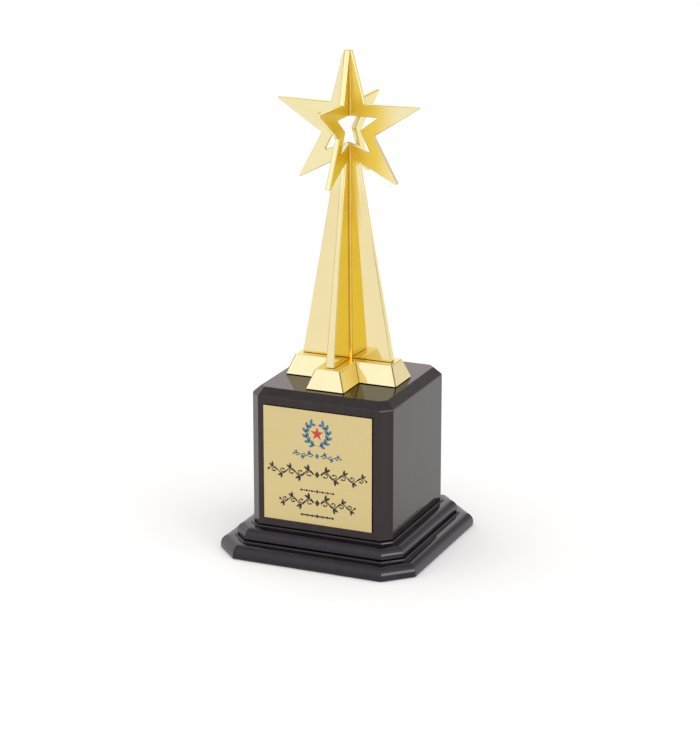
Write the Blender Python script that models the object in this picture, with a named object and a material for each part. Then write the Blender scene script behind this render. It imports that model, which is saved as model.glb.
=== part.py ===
"""Star trophy: stepped black base, name plaque, gold figure of two interlocking star plates on a cross foot."""

import math

import bmesh
import bpy
from mathutils import Vector
from mathutils.geometry import delaunay_2d_cdt

MM = 0.001

# Overall heights, from the table upwards.
TOTAL_H = 317.5 * MM
PAD_T = 1.2 * MM
BASE_Z = 0.4 * MM
LEDGE_LOW_Z = 10.0 * MM
LEDGE_UP_Z = 18.6 * MM
BEVEL_Z = 104.2 * MM
BLOCK_TOP_Z = 108.9 * MM
FOOT_TOP_Z = 121.8 * MM
GAP = 0.3 * MM

# Octagonal plan sizes: half width across the flats and chamfer leg.
LOW_HALF = 67.2 * MM
LOW_LEG = 16.5 * MM
UP_HALF = 57.3 * MM
UP_LEG = 10.5 * MM
BLOCK_HALF = 47.9 * MM
BLOCK_LEG = 6.8 * MM
BEVEL_IN = 5.3 * MM
# A chamfer leg shortens by this much for every unit the flats move in.
LEG_SHRINK = 2.0 - math.sqrt(2.0)

# Tier moulding: straight foot, quarter ellipse, almost flat shoulder, step and ledge.
FOOT_EASE = 0.5 * MM
LOW_STRAIGHT = 2.3 * MM
UP_STRAIGHT = 1.7 * MM
ROUND_IN = 5.2 * MM
SHOULDER_IN = 8.2 * MM
STEP_H = 1.0 * MM
SHOULDER_H = 0.2 * MM
LEDGE_IN = 8.4 * MM
ROUND_STEPS = 6

# Star outline, half width from the axis and height.
TIP_TOP_HALF = 2.5 * MM
NOTCH_UP = (11.4 * MM, 284.6 * MM)
TIP_SIDE_UP = (47.4 * MM, 285.2 * MM)
TIP_SIDE_LOW = (47.2 * MM, 284.0 * MM)
NOTCH_SIDE = (17.6 * MM, 264.9 * MM)
TIP_LEG_OUT = (33.3 * MM, 236.2 * MM)
TIP_LEG_IN = (32.2 * MM, 235.6 * MM)
NOTCH_LEG = (8.1 * MM, 248.2 * MM)
FIN_FOOT_HALF = 30.5 * MM
CROSS_SCALE = 0.97
TIP_ROUND = 0.5 * MM

# Hollow star in the middle of each plate.
HOLE_TOP_Z = 276.7 * MM
HOLE_ARM = (20.1 * MM, 276.7 * MM)
HOLE_NOTCH = (8.2 * MM, 268.0 * MM)
HOLE_LEG = (15.3 * MM, 254.2 * MM)
HOLE_LOW_Z = 260.3 * MM

# Plate thickness: constant in the star, growing down the fins.
STAR_T = 3.4 * MM
FIN_T = 5.9 * MM
TAPER_Z = 202.0 * MM
FIN_BOTTOM_Z = FOOT_TOP_Z + GAP

# Tabs that key the fins into the foot.
TAB_H = 5.5 * MM
TAB_WIDE_HALF = 8.0 * MM
TAB_CROSS_IN = 14.0 * MM
TAB_CROSS_OUT = 24.0 * MM

# Cross foot, sizes at its underside and at its top.
FOOT_LEN_LOW = 38.0 * MM
FOOT_LEN_TOP = 33.2 * MM
FOOT_ARM_LOW = 13.1 * MM
FOOT_ARM_TOP = 8.3 * MM

# Fixings.
ROD_R = 3.0 * MM
ROD_LOW_Z = 2.9 * MM
ROD_TOP_Z = 113.6 * MM
BORE_R = 3.5 * MM
INSERT_R = 5.0 * MM
INSERT_H = 5.2 * MM
WASHER_R = 12.0 * MM
WASHER_T = 1.5 * MM
SPRING_R = 5.6 * MM
SPRING_T = 1.6 * MM
SPRING_SLIT = 0.8 * MM
NUT_FLATS = 10.0 * MM
NUT_H = 5.0 * MM
NUT_WELL_R = 14.0 * MM
WASHER_WELL_R = 13.0 * MM
WASHER_WELL_H = 3.0 * MM
SCREW_AT = 32.0 * MM
SCREW_LEN = 30.0 * MM
SCREW_HEAD_R = 4.0 * MM
SCREW_HEAD_H = 2.6 * MM
SCREW_SHANK_R = 1.9 * MM
SCREW_ROOT_R = 1.4 * MM
SCREW_PITCH = 1.8 * MM
SCREW_Z = 1.9 * MM
SCREW_CLEAR = 0.35 * MM

# Plaque on the front face.
PLAQUE_HALF = 36.9 * MM
PLAQUE_LOW_Z = 24.3 * MM
PLAQUE_TOP_Z = 99.2 * MM
PLAQUE_T = 0.7 * MM
ADHESIVE_T = 0.2 * MM
ADHESIVE_IN = 1.5 * MM

# Pad under the base, let into a shallow recess.
PAD_HALF = 60.0 * MM
PAD_LEG = 13.0 * MM

EDGE_SOFT = 0.35 * MM
ROUND_SIDES = 40
SMALL_SIDES = 20

MATERIALS = {
    "gold_plate": ((0.93, 0.74, 0.27), 1.0, 0.06),
    "black_lacquer": ((0.015, 0.013, 0.013), 0.0, 0.12),
    "plaque_gold": ((0.80, 0.66, 0.36), 1.0, 0.32),
    "adhesive_film": ((0.85, 0.85, 0.82), 0.0, 0.5),
    "zinc_steel": ((0.62, 0.62, 0.62), 1.0, 0.35),
    "insert_brass": ((0.72, 0.53, 0.22), 1.0, 0.3),
    "pad_felt": ((0.03, 0.05, 0.03), 0.0, 0.95),
}


def clear_scene():
    for obj in list(bpy.data.objects):
        bpy.data.objects.remove(obj, do_unlink=True)


def make_material(name):
    colour, metallic, roughness = MATERIALS[name]
    mat = bpy.data.materials.new(name)
    mat.use_nodes = True
    shader = mat.node_tree.nodes["Principled BSDF"]
    shader.inputs["Base Color"].default_value = (*colour, 1.0)
    shader.inputs["Metallic"].default_value = metallic
    shader.inputs["Roughness"].default_value = roughness
    return mat


def add_object(name, verts, faces, material, smooth=False):
    mesh = bpy.data.meshes.new(name)
    mesh.from_pydata([tuple(v) for v in verts], [], faces)
    work = bmesh.new()
    work.from_mesh(mesh)
    bmesh.ops.recalc_face_normals(work, faces=work.faces)
    work.to_mesh(mesh)
    work.free()
    obj = bpy.data.objects.new(name, mesh)
    bpy.context.scene.collection.objects.link(obj)
    if material:
        mesh.materials.append(bpy.data.materials.get(material) or make_material(material))
    if smooth:
        for poly in mesh.polygons:
            poly.use_smooth = True
        mesh.set_sharp_from_angle(angle=math.radians(35.0))
    return obj


def octagon(half, leg):
    a = half - leg
    return [
        (half, -a), (half, a), (a, half), (-a, half),
        (-half, a), (-half, -a), (-a, -half), (a, -half),
    ]


def stacked(rings):
    """Vertices and faces of a body made of equal-count rings, capped at both ends."""
    count = len(rings[0])
    verts = [v for ring in rings for v in ring]
    faces = [list(range(count))[::-1]]
    for level in range(len(rings) - 1):
        low = level * count
        for i in range(count):
            j = (i + 1) % count
            faces.append([low + i, low + j, low + count + j, low + count + i])
    faces.append(list(range((len(rings) - 1) * count, len(rings) * count)))
    return verts, faces


def octagon_body(name, half, leg, profile, material, smooth=False):
    """Mitred octagonal body; profile is a list of (inset, height)."""
    rings = []
    for inset, z in profile:
        plan = octagon(half - inset, leg - LEG_SHRINK * inset)
        rings.append([(x, y, z) for x, y in plan])
    verts, faces = stacked(rings)
    return add_object(name, verts, faces, material, smooth)


def turned(profile, sides, centre=(0.0, 0.0)):
    """Vertices and faces of a solid of revolution; profile is a list of (radius, height)."""
    rings = []
    for r, z in profile:
        ring = []
        for i in range(sides):
            angle = 2.0 * math.pi * (i + 0.5) / sides
            ring.append((centre[0] + r * math.cos(angle), centre[1] + r * math.sin(angle), z))
        rings.append(ring)
    return stacked(rings)


def ring_body(profile, sides, start=0.0, sweep=2.0 * math.pi, rise=0.0):
    """Closed section (radius, height) carried round the axis, open-ended and capped when sweep is partial."""
    closed = sweep >= 2.0 * math.pi
    steps = sides if closed else sides + 1
    count = len(profile)
    verts = []
    for i in range(steps):
        part = i / sides
        angle = start + sweep * part
        for r, z in profile:
            verts.append((r * math.cos(angle), r * math.sin(angle), z + rise * (part - 0.5)))
    faces = []
    for i in range(sides):
        a = i * count
        b = ((i + 1) % steps) * count
        for k in range(count):
            m = (k + 1) % count
            faces.append([a + k, a + m, b + m, b + k])
    if not closed:
        faces.append(list(range(count))[::-1])
        faces.append(list(range(sides * count, (sides + 1) * count)))
    return verts, faces


def box(low, high):
    (x0, y0, z0), (x1, y1, z1) = low, high
    plan = [(x0, y0), (x1, y0), (x1, y1), (x0, y1)]
    return stacked([[(x, y, z0) for x, y in plan], [(x, y, z1) for x, y in plan]])


def merged(bodies):
    """Several closed bodies put into one vertex and face list, used for cutters."""
    verts = []
    faces = []
    for body_verts, body_faces in bodies:
        base = len(verts)
        verts.extend(body_verts)
        faces.extend([[base + i for i in face] for face in body_faces])
    return verts, faces


def cut(obj, bodies, label):
    verts, faces = merged(bodies)
    tool = add_object("cutter_" + label, verts, faces, None)
    tool.hide_render = True
    tool.display_type = "WIRE"
    mod = obj.modifiers.new("cut_" + label, "BOOLEAN")
    mod.operation = "DIFFERENCE"
    mod.solver = "EXACT"
    mod.object = tool


def soften(obj, width, segments=2):
    mod = obj.modifiers.new("soft_edges", "BEVEL")
    mod.width = width
    mod.segments = segments
    mod.limit_method = "ANGLE"
    mod.angle_limit = math.radians(30.0)
    mod.harden_normals = False


def rounded(points, radii, steps=3):
    """Outline with each listed corner replaced by a short arc."""
    out = []
    count = len(points)
    for i, corner in enumerate(points):
        radius = radii[i]
        if radius <= 0.0:
            out.append(corner)
            continue
        here = Vector(corner)
        back = (Vector(points[i - 1]) - here).normalized()
        ahead = (Vector(points[(i + 1) % count]) - here).normalized()
        half = 0.5 * back.angle(ahead)
        reach = radius / math.tan(half)
        middle = here + (back + ahead).normalized() * (radius / math.sin(half))
        first = here + back * reach - middle
        last = here + ahead * reach - middle
        for k in range(steps + 1):
            ray = first.lerp(last, k / steps).normalized() * radius
            out.append(tuple(middle + ray))
    return out


def inside(point, outline):
    hit = False
    x, z = point
    for i, (x0, z0) in enumerate(outline):
        x1, z1 = outline[i - 1]
        if (z0 > z) != (z1 > z) and x < (x1 - x0) * (z - z0) / (z1 - z0) + x0:
            hit = not hit
    return hit


def thickness(z):
    if z >= TAPER_Z:
        return STAR_T
    part = (TAPER_Z - max(z, FIN_BOTTOM_Z)) / (TAPER_Z - FIN_BOTTOM_Z)
    return STAR_T + (FIN_T - STAR_T) * part


def half_outline(scale):
    """Right-hand boundary from the top of the star down to the foot of the fin, with corner radii."""
    taper = (NOTCH_LEG[1] - TAPER_Z) / (NOTCH_LEG[1] - FIN_BOTTOM_Z)
    fin_at_taper = NOTCH_LEG[0] + (FIN_FOOT_HALF - NOTCH_LEG[0]) * taper
    rows = [
        (TIP_TOP_HALF, TOTAL_H, TIP_ROUND),
        (NOTCH_UP[0], NOTCH_UP[1], 0.0),
        (TIP_SIDE_UP[0], TIP_SIDE_UP[1], TIP_ROUND),
        (TIP_SIDE_LOW[0], TIP_SIDE_LOW[1], TIP_ROUND),
        (NOTCH_SIDE[0], NOTCH_SIDE[1], 0.0),
        (TIP_LEG_OUT[0], TIP_LEG_OUT[1], TIP_ROUND),
        (TIP_LEG_IN[0], TIP_LEG_IN[1], TIP_ROUND),
        (NOTCH_LEG[0], NOTCH_LEG[1], 0.0),
        (fin_at_taper, TAPER_Z, 0.0),
        (FIN_FOOT_HALF, FIN_BOTTOM_Z, 0.0),
    ]
    return [(u * scale, z, r) for u, z, r in rows]


def plate_outline(scale, low_rows, top_rows):
    """Closed outline: right side down, low_rows across the bottom, left side up, top_rows across the top."""
    side = half_outline(scale)
    mirror = [(-u, z, r) for u, z, r in reversed(side)]
    rows = side + low_rows + mirror + top_rows
    points = [(u, z) for u, z, r in rows]
    # The short flats at the tips hold radii no larger than about half their length.
    radii = [min(r, 0.45 * MM) for u, z, r in rows]
    return rounded(points, radii)


def hole_outline(scale):
    right = [
        (HOLE_ARM[0], HOLE_ARM[1]),
        (HOLE_NOTCH[0], HOLE_NOTCH[1]),
        (HOLE_LEG[0], HOLE_LEG[1]),
    ]
    left = [(-u, z) for u, z in reversed(right)]
    return [(u * scale, z) for u, z in right + [(0.0, HOLE_LOW_Z)] + left]


def plate_mesh(outer, hole, across_x):
    """Plate with thickness(z), standing in the XZ plane, or in the YZ plane when across_x is False."""
    loops = [outer] + ([hole] if hole else [])
    points = []
    edges = []
    for loop in loops:
        base = len(points)
        points.extend(Vector(p) for p in loop)
        edges.extend((base + i, base + (i + 1) % len(loop)) for i in range(len(loop)))
    levels = [i for i, p in enumerate(points) if abs(p.y - TAPER_Z) < 0.01 * MM]
    levels.sort(key=lambda i: points[i].x)
    for a, b in zip(levels[0::2], levels[1::2]):
        edges.append((a, b))
    out_verts, _, tris, _, _, _ = delaunay_2d_cdt(points, edges, [], 0, 1.0e-7)
    kept = []
    for tri in tris:
        middle = sum((out_verts[i] for i in tri), Vector((0.0, 0.0))) / 3.0
        if inside(middle, outer) and not (hole and inside(middle, hole)):
            kept.append(tuple(tri))
    used = {}
    for tri in kept:
        for k in range(3):
            pair = (tri[k], tri[(k + 1) % 3])
            used[pair] = used.get(pair, 0) + 1
    rim = [pair for pair in used if (pair[1], pair[0]) not in used]
    total = len(out_verts)
    verts = []
    for side in (-0.5, 0.5):
        for p in out_verts:
            depth = side * thickness(p.y)
            verts.append((p.x, depth, p.y) if across_x else (depth, p.x, p.y))
    faces = [list(tri) for tri in kept]
    faces.extend([total + i for i in reversed(tri)] for tri in kept)
    faces.extend([b, a, total + a, total + b] for a, b in rim)
    return verts, faces


def build_plate(name, outer, hole, across_x):
    verts, faces = plate_mesh(outer, hole, across_x)
    obj = add_object(name, verts, faces, "gold_plate")
    work = bmesh.new()
    work.from_mesh(obj.data)
    loose = [v for v in work.verts if not v.link_faces]
    bmesh.ops.delete(work, geom=loose, context="VERTS")
    bmesh.ops.dissolve_limit(work, angle_limit=0.001, verts=work.verts, edges=work.edges)
    bmesh.ops.recalc_face_normals(work, faces=work.faces)
    work.to_mesh(obj.data)
    work.free()
    return obj


def build_wide_plate():
    """Star and fins in the XZ plane; whole below the hollow star, slotted above it for the other plate."""
    slot = 0.5 * STAR_T + GAP
    tab_z = FIN_BOTTOM_Z - TAB_H
    low = [
        (TAB_WIDE_HALF, FIN_BOTTOM_Z, 0.0), (TAB_WIDE_HALF, tab_z, 0.0),
        (-TAB_WIDE_HALF, tab_z, 0.0), (-TAB_WIDE_HALF, FIN_BOTTOM_Z, 0.0),
    ]
    hole = hole_outline(1.0)
    # The slot opens the hole to the top of the star, so both become part of the outline.
    top = [(-slot, TOTAL_H, 0.0), (-slot, HOLE_TOP_Z, 0.0)]
    top += [(u, z, 0.0) for u, z in reversed(hole)]
    top += [(slot, HOLE_TOP_Z, 0.0), (slot, TOTAL_H, 0.0)]
    return build_plate("star_plate_wide", plate_outline(1.0, low, top), None, True)


def build_cross_plate():
    """Star and fins in the YZ plane; whole above the hollow star, slotted below it for the other plate."""
    foot_slot = 0.5 * FIN_T + GAP
    star_slot = 0.5 * STAR_T + GAP
    tab_z = FIN_BOTTOM_Z - TAB_H
    hole = hole_outline(CROSS_SCALE)
    right = [
        (TAB_CROSS_OUT, FIN_BOTTOM_Z), (TAB_CROSS_OUT, tab_z),
        (TAB_CROSS_IN, tab_z), (TAB_CROSS_IN, FIN_BOTTOM_Z),
        (foot_slot, FIN_BOTTOM_Z), (star_slot, TAPER_Z),
    ]
    # The slot meets the lower edges of the hollow star a little way out from the axis.
    leg_u, leg_z = hole[2]
    meet_z = HOLE_LOW_Z - (HOLE_LOW_Z - leg_z) * star_slot / leg_u
    right.append((star_slot, meet_z))
    around = [p for p in reversed(hole[:3])] + [p for p in reversed(hole[4:])]
    rows = [(u, z, 0.0) for u, z in right + around]
    rows += [(-u, z, 0.0) for u, z in reversed(right)]
    return build_plate("star_plate_cross", plate_outline(CROSS_SCALE, rows, []), None, False)


def plus_plan(length, arm):
    return [
        (length, -arm), (length, arm), (arm, arm), (arm, length), (-arm, length), (-arm, arm),
        (-length, arm), (-length, -arm), (-arm, -arm), (-arm, -length), (arm, -length), (arm, -arm),
    ]


def build_foot():
    low_z = BLOCK_TOP_Z + GAP
    low = [(x, y, low_z) for x, y in plus_plan(FOOT_LEN_LOW, FOOT_ARM_LOW)]
    top = [(x, y, FOOT_TOP_Z) for x, y in plus_plan(FOOT_LEN_TOP, FOOT_ARM_TOP)]
    foot = add_object("figure_foot", *stacked([low, top]), "gold_plate")
    soften(foot, 0.8 * MM, 3)
    half = 0.5 * FIN_T + GAP
    deep = FIN_BOTTOM_Z - TAB_H - GAP
    above = FOOT_TOP_Z + 5.0 * MM
    wide = TAB_WIDE_HALF + GAP
    pockets = [box((-wide, -half, deep), (wide, half, above))]
    for sign in (-1.0, 1.0):
        ends = sorted((sign * (TAB_CROSS_IN - GAP), sign * (TAB_CROSS_OUT + GAP)))
        pockets.append(box((-half, ends[0], deep), (half, ends[1], above)))
    bore = INSERT_R + GAP
    pockets.append(turned([(bore, low_z - 5.0 * MM), (bore, low_z + INSERT_H + GAP)], ROUND_SIDES))
    cut(foot, pockets, "foot_pockets")


def tier_profile(low_z, straight, ledge_z):
    """Insets and heights of the moulding from its underside to its ledge."""
    arc_low = low_z + straight
    arc_top = ledge_z - STEP_H - SHOULDER_H
    rows = [(FOOT_EASE, low_z), (0.0, low_z + FOOT_EASE)]
    for k in range(ROUND_STEPS + 1):
        angle = 0.5 * math.pi * k / ROUND_STEPS
        inset = ROUND_IN * (1.0 - math.cos(angle))
        rows.append((inset, arc_low + (arc_top - arc_low) * math.sin(angle)))
    rows.append((SHOULDER_IN, ledge_z - STEP_H))
    rows.append((LEDGE_IN, ledge_z))
    return rows


def screw_spots():
    return [(sx * SCREW_AT, sy * SCREW_AT) for sx in (-1, 1) for sy in (-1, 1)]


def build_base():
    block_low = LEDGE_UP_Z + GAP
    block = octagon_body(
        "base_block", BLOCK_HALF, BLOCK_LEG,
        [(0.0, block_low), (0.0, BEVEL_Z), (BEVEL_IN, BLOCK_TOP_Z)], "black_lacquer",
    )
    soften(block, EDGE_SOFT)
    hole_r = SCREW_SHANK_R + SCREW_CLEAR
    screw_end = SCREW_Z + SCREW_LEN + 0.5 * MM
    reach = 4.0 * MM
    bores = [turned([(BORE_R, block_low - reach), (BORE_R, BLOCK_TOP_Z + reach)], ROUND_SIDES)]
    for spot in screw_spots():
        bores.append(turned([(hole_r, block_low - reach), (hole_r, screw_end)], SMALL_SIDES, spot))
    cut(block, bores, "block_bores")

    upper_low = LEDGE_LOW_Z + GAP
    upper = octagon_body(
        "upper_tier", UP_HALF, UP_LEG, tier_profile(upper_low, UP_STRAIGHT, LEDGE_UP_Z),
        "black_lacquer", True,
    )
    well = upper_low + WASHER_WELL_H
    bores = [turned([
        (WASHER_WELL_R, upper_low - reach), (WASHER_WELL_R, well),
        (BORE_R, well), (BORE_R, LEDGE_UP_Z + reach),
    ], ROUND_SIDES)]
    for spot in screw_spots():
        bores.append(turned([(hole_r, upper_low - reach), (hole_r, LEDGE_UP_Z + reach)], SMALL_SIDES, spot))
    cut(upper, bores, "upper_tier_bores")

    lower = octagon_body(
        "lower_tier", LOW_HALF, LOW_LEG, tier_profile(BASE_Z, LOW_STRAIGHT, LEDGE_LOW_Z),
        "black_lacquer", True,
    )
    recess_top = PAD_T + GAP
    below = BASE_Z - reach
    head_r = SCREW_HEAD_R + GAP
    neck_z = SCREW_Z + SCREW_HEAD_H + GAP
    recess = octagon(PAD_HALF + GAP, PAD_LEG)
    pocket = stacked([[(x, y, z) for x, y in recess] for z in (below, recess_top)])
    cut(lower, [pocket], "pad_recess")
    bores = [turned([(NUT_WELL_R, below), (NUT_WELL_R, LEDGE_LOW_Z + reach)], ROUND_SIDES)]
    for spot in screw_spots():
        bores.append(turned([
            (head_r, below), (head_r, SCREW_Z), (hole_r, neck_z), (hole_r, LEDGE_LOW_Z + reach),
        ], SMALL_SIDES, spot))
    cut(lower, bores, "lower_tier_bores")

    octagon_body("base_pad", PAD_HALF, PAD_LEG, [(0.0, 0.0), (0.0, PAD_T)], "pad_felt")


def build_plaque():
    face = -BLOCK_HALF
    film_back = face - GAP
    film_front = film_back - ADHESIVE_T
    plate_back = film_front - GAP
    plate_front = plate_back - PLAQUE_T
    inner = PLAQUE_HALF - ADHESIVE_IN
    film = box(
        (-inner, film_front, PLAQUE_LOW_Z + ADHESIVE_IN), (inner, film_back, PLAQUE_TOP_Z - ADHESIVE_IN),
    )
    add_object("plaque_adhesive", *film, "adhesive_film")
    plate = box((-PLAQUE_HALF, plate_front, PLAQUE_LOW_Z), (PLAQUE_HALF, plate_back, PLAQUE_TOP_Z))
    soften(add_object("name_plaque", *plate, "plaque_gold"), 0.15 * MM)


def build_fixings():
    ease = 0.6 * MM
    rod = turned([
        (ROD_R - ease, ROD_LOW_Z), (ROD_R, ROD_LOW_Z + ease),
        (ROD_R, ROD_TOP_Z - ease), (ROD_R - ease, ROD_TOP_Z),
    ], ROUND_SIDES)
    add_object("tie_rod", *rod, "zinc_steel", True)

    inner = ROD_R + GAP
    seat = BLOCK_TOP_Z + GAP
    insert = ring_body([
        (inner, seat), (INSERT_R, seat), (INSERT_R, seat + INSERT_H), (inner, seat + INSERT_H),
    ], ROUND_SIDES)
    add_object("foot_insert", *insert, "insert_brass", True)

    washer_top = LEDGE_LOW_Z + WASHER_WELL_H
    washer_low = washer_top - WASHER_T
    washer = ring_body([
        (inner, washer_low), (WASHER_R, washer_low), (WASHER_R, washer_top), (inner, washer_top),
    ], ROUND_SIDES)
    add_object("flat_washer", *washer, "zinc_steel", True)

    spring_top = washer_low - GAP - 0.5 * SPRING_SLIT
    spring_low = spring_top - SPRING_T
    slit = 0.12
    spring = ring_body([
        (inner, spring_low), (SPRING_R, spring_low), (SPRING_R, spring_top), (inner, spring_top),
    ], ROUND_SIDES, slit, 2.0 * math.pi - 2.0 * slit, SPRING_SLIT)
    add_object("spring_washer", *spring, "zinc_steel", True)

    nut_top = spring_low - 0.5 * SPRING_SLIT - GAP
    nut_low = nut_top - NUT_H
    corner = NUT_FLATS / math.sqrt(3.0)
    sides = 6
    verts = []
    for z in (nut_low, nut_top):
        for radius in (corner, inner):
            for i in range(sides * 6):
                angle = 2.0 * math.pi * i / (sides * 6)
                if radius == corner:
                    local = (angle % (math.pi / 3.0)) - math.pi / 6.0
                    r = 0.5 * NUT_FLATS / math.cos(local)
                else:
                    r = inner
                verts.append((r * math.cos(angle), r * math.sin(angle), z))
    count = sides * 6
    faces = []
    for i in range(count):
        j = (i + 1) % count
        low_out, low_in, top_out, top_in = 0, count, 2 * count, 3 * count
        faces.append([low_out + i, low_out + j, top_out + j, top_out + i])
        faces.append([low_in + j, low_in + i, top_in + i, top_in + j])
        faces.append([low_out + j, low_out + i, low_in + i, low_in + j])
        faces.append([top_out + i, top_out + j, top_in + j, top_in + i])
    add_object("hex_nut", verts, faces, "zinc_steel")


def screw_profile():
    """Countersunk head, plain neck and ridged thread ending in a point."""
    low = SCREW_Z
    rows = [(SCREW_HEAD_R - 0.2 * MM, low), (SCREW_HEAD_R, low + 0.3 * MM)]
    rows.append((SCREW_SHANK_R, low + SCREW_HEAD_H))
    thread_start = low + 9.0 * MM
    rows.append((SCREW_SHANK_R, thread_start))
    tip = low + SCREW_LEN
    point_len = 4.0 * MM
    turns = int((tip - point_len - thread_start) / SCREW_PITCH)
    for k in range(turns):
        z = thread_start + (k + 0.5) * SCREW_PITCH
        rows.append((SCREW_ROOT_R, z - 0.15 * SCREW_PITCH))
        rows.append((SCREW_SHANK_R, z + 0.35 * SCREW_PITCH))
    rows.append((SCREW_ROOT_R, tip - point_len))
    rows.append((0.25 * MM, tip))
    return rows


def build_screws():
    depth = 1.6 * MM
    arm = 2.1 * MM
    blade = 0.5 * MM
    for number, (x, y) in enumerate(screw_spots(), 1):
        screw = add_object(
            "wood_screw_%d" % number, *turned(screw_profile(), SMALL_SIDES, (x, y)), "zinc_steel", True,
        )
        low = SCREW_Z - 1.0 * MM
        high = SCREW_Z + depth
        cut(screw, [
            stacked([[(x + u, y + v, z) for u, v in plus_plan(arm, blade)] for z in (low, high)]),
        ], "screw_%d_recess" % number)


def main():
    clear_scene()
    build_base()
    build_plaque()
    build_foot()
    build_wide_plate()
    build_cross_plate()
    build_fixings()
    build_screws()


main()
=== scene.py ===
import math

import bpy
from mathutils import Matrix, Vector
from mathutils.geometry import delaunay_2d_cdt


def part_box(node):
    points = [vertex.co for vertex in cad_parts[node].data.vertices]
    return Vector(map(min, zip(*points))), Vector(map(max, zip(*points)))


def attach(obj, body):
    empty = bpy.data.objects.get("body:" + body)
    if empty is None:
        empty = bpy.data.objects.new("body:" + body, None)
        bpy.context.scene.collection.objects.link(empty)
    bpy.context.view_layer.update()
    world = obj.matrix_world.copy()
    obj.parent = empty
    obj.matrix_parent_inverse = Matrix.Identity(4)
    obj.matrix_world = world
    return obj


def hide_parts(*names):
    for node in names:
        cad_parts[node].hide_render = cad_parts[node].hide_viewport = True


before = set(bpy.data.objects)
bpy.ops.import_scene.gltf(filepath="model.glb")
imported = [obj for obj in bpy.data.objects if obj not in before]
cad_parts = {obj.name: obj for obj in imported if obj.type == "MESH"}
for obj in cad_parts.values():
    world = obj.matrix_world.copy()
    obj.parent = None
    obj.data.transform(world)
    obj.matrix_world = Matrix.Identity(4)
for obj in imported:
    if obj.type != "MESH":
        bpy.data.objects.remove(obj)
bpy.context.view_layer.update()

MM = 0.001

# ---------------------------------------------------------------- dimensions
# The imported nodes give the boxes; the sizes inside them are the same as in the CAD.
BLOCK_LOW, BLOCK_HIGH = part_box("base_block")
UPPER_LOW, UPPER_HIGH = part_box("upper_tier")
LOWER_LOW, LOWER_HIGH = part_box("lower_tier")
FOOT_LOW, FOOT_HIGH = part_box("figure_foot")
_, WIDE_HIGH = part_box("star_plate_wide")
PLAQUE_LOW, PLAQUE_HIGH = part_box("name_plaque")

# Chamfer legs of the octagonal plans, and how much a leg shortens for each unit the flats move in.
BLOCK_LEG = 6.8 * MM
LOW_LEG = 16.5 * MM
UP_LEG = 10.5 * MM
LEG_SHRINK = 2.0 - math.sqrt(2.0)
BEVEL_IN = 5.3 * MM
BEVEL_Z = 104.2 * MM
# Tier moulding: straight toe, quarter ellipse, shoulder, step and ledge.
LOW_STRAIGHT = 2.3 * MM
UP_STRAIGHT = 1.7 * MM
ROUND_IN = 5.2 * MM
SHOULDER_IN = 8.2 * MM
STEP_H = 1.0 * MM
SHOULDER_H = 0.2 * MM
LEDGE_IN = 8.4 * MM
ROUND_STEPS = 14
# Corner radii in plan, then edge radii up the profiles.
LOW_CORNER_R = 0.7 * MM
UP_CORNER_R = 0.6 * MM
BLOCK_CORNER_R = 1.0 * MM
TOE_R = 0.5 * MM
STEP_R = 0.15 * MM
LEDGE_R = 0.3 * MM
UNDER_R = 0.3 * MM
BEVEL_R = 2.2 * MM
TOP_R = 0.5 * MM
# How far a body's flat underside or top runs in before it is capped.
UNDER_RUN = 3.0 * MM
LEDGE_RUN = 3.0 * MM
TOP_RUN = 4.0 * MM

# Star outline, half width from the axis and height.
TOTAL_H = WIDE_HIGH.z
FIN_BOTTOM_Z = FOOT_HIGH.z + 0.05 * MM
TIP_TOP_HALF = 2.5 * MM
NOTCH_UP = (11.4 * MM, 284.6 * MM)
TIP_SIDE_UP = (47.4 * MM, 285.2 * MM)
TIP_SIDE_LOW = (47.2 * MM, 284.0 * MM)
NOTCH_SIDE = (17.6 * MM, 264.9 * MM)
TIP_LEG_OUT = (33.3 * MM, 236.2 * MM)
TIP_LEG_IN = (32.2 * MM, 235.6 * MM)
NOTCH_LEG = (8.1 * MM, 248.2 * MM)
FIN_FOOT_HALF = 30.5 * MM
CROSS_SCALE = 0.97
TIP_R = 0.5 * MM
TOP_TIP_R = 0.8 * MM
NOTCH_R = 0.3 * MM
HOLE_TOP_Z = 276.7 * MM
HOLE_ARM = (20.1 * MM, 276.7 * MM)
HOLE_NOTCH = (8.2 * MM, 268.0 * MM)
HOLE_LEG = (15.3 * MM, 254.2 * MM)
HOLE_LOW_Z = 260.3 * MM
HOLE_PROUD_R = 0.6 * MM
HOLE_R = 0.35 * MM
# Plate thickness: constant in the star, growing down the fins from TAPER_Z.
STAR_T = 3.4 * MM
FIN_T = 5.9 * MM
TAPER_Z = 202.0 * MM
EDGE_R = 0.85 * MM
# At a tight proud corner the edge rounding narrows to this share of the corner's radius.
EDGE_SHARE = 0.85
# The cross plate's top is this much lower, and its window this much taller at both ends, so that
# no faces coincide.
CROSS_DROP = 0.12 * MM
# Rounded strips where the plates cross: radius at each height below and above the window.
CORE_R = 1.5 * MM
CORE_BURY = 0.2 * MM
CORE_LOWER = (
    (FIN_BOTTOM_Z, CORE_R), (TAPER_Z, CORE_R),
    (HOLE_LOW_Z - 8.0 * MM, CORE_R), (HOLE_LOW_Z - 1.2 * MM, 0.6 * MM),
)
CORE_UPPER = (
    (HOLE_TOP_Z + 0.3 * MM, CORE_R), (TOTAL_H - 18.0 * MM, CORE_R),
    (TOTAL_H - 9.0 * MM, 1.2 * MM), (TOTAL_H - 1.0 * MM, 0.3 * MM),
)

# Cross foot, sizes at its underside.
FOOT_LEN = 38.0 * MM
FOOT_ARM = 13.1 * MM
FOOT_SLOPE_IN = 4.8 * MM
FOOT_CORNER_R = 0.8 * MM
FOOT_INNER_R = 0.5 * MM
FOOT_TOP_R = 0.9 * MM
FOOT_TOP_RUN = 1.5 * MM

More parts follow.
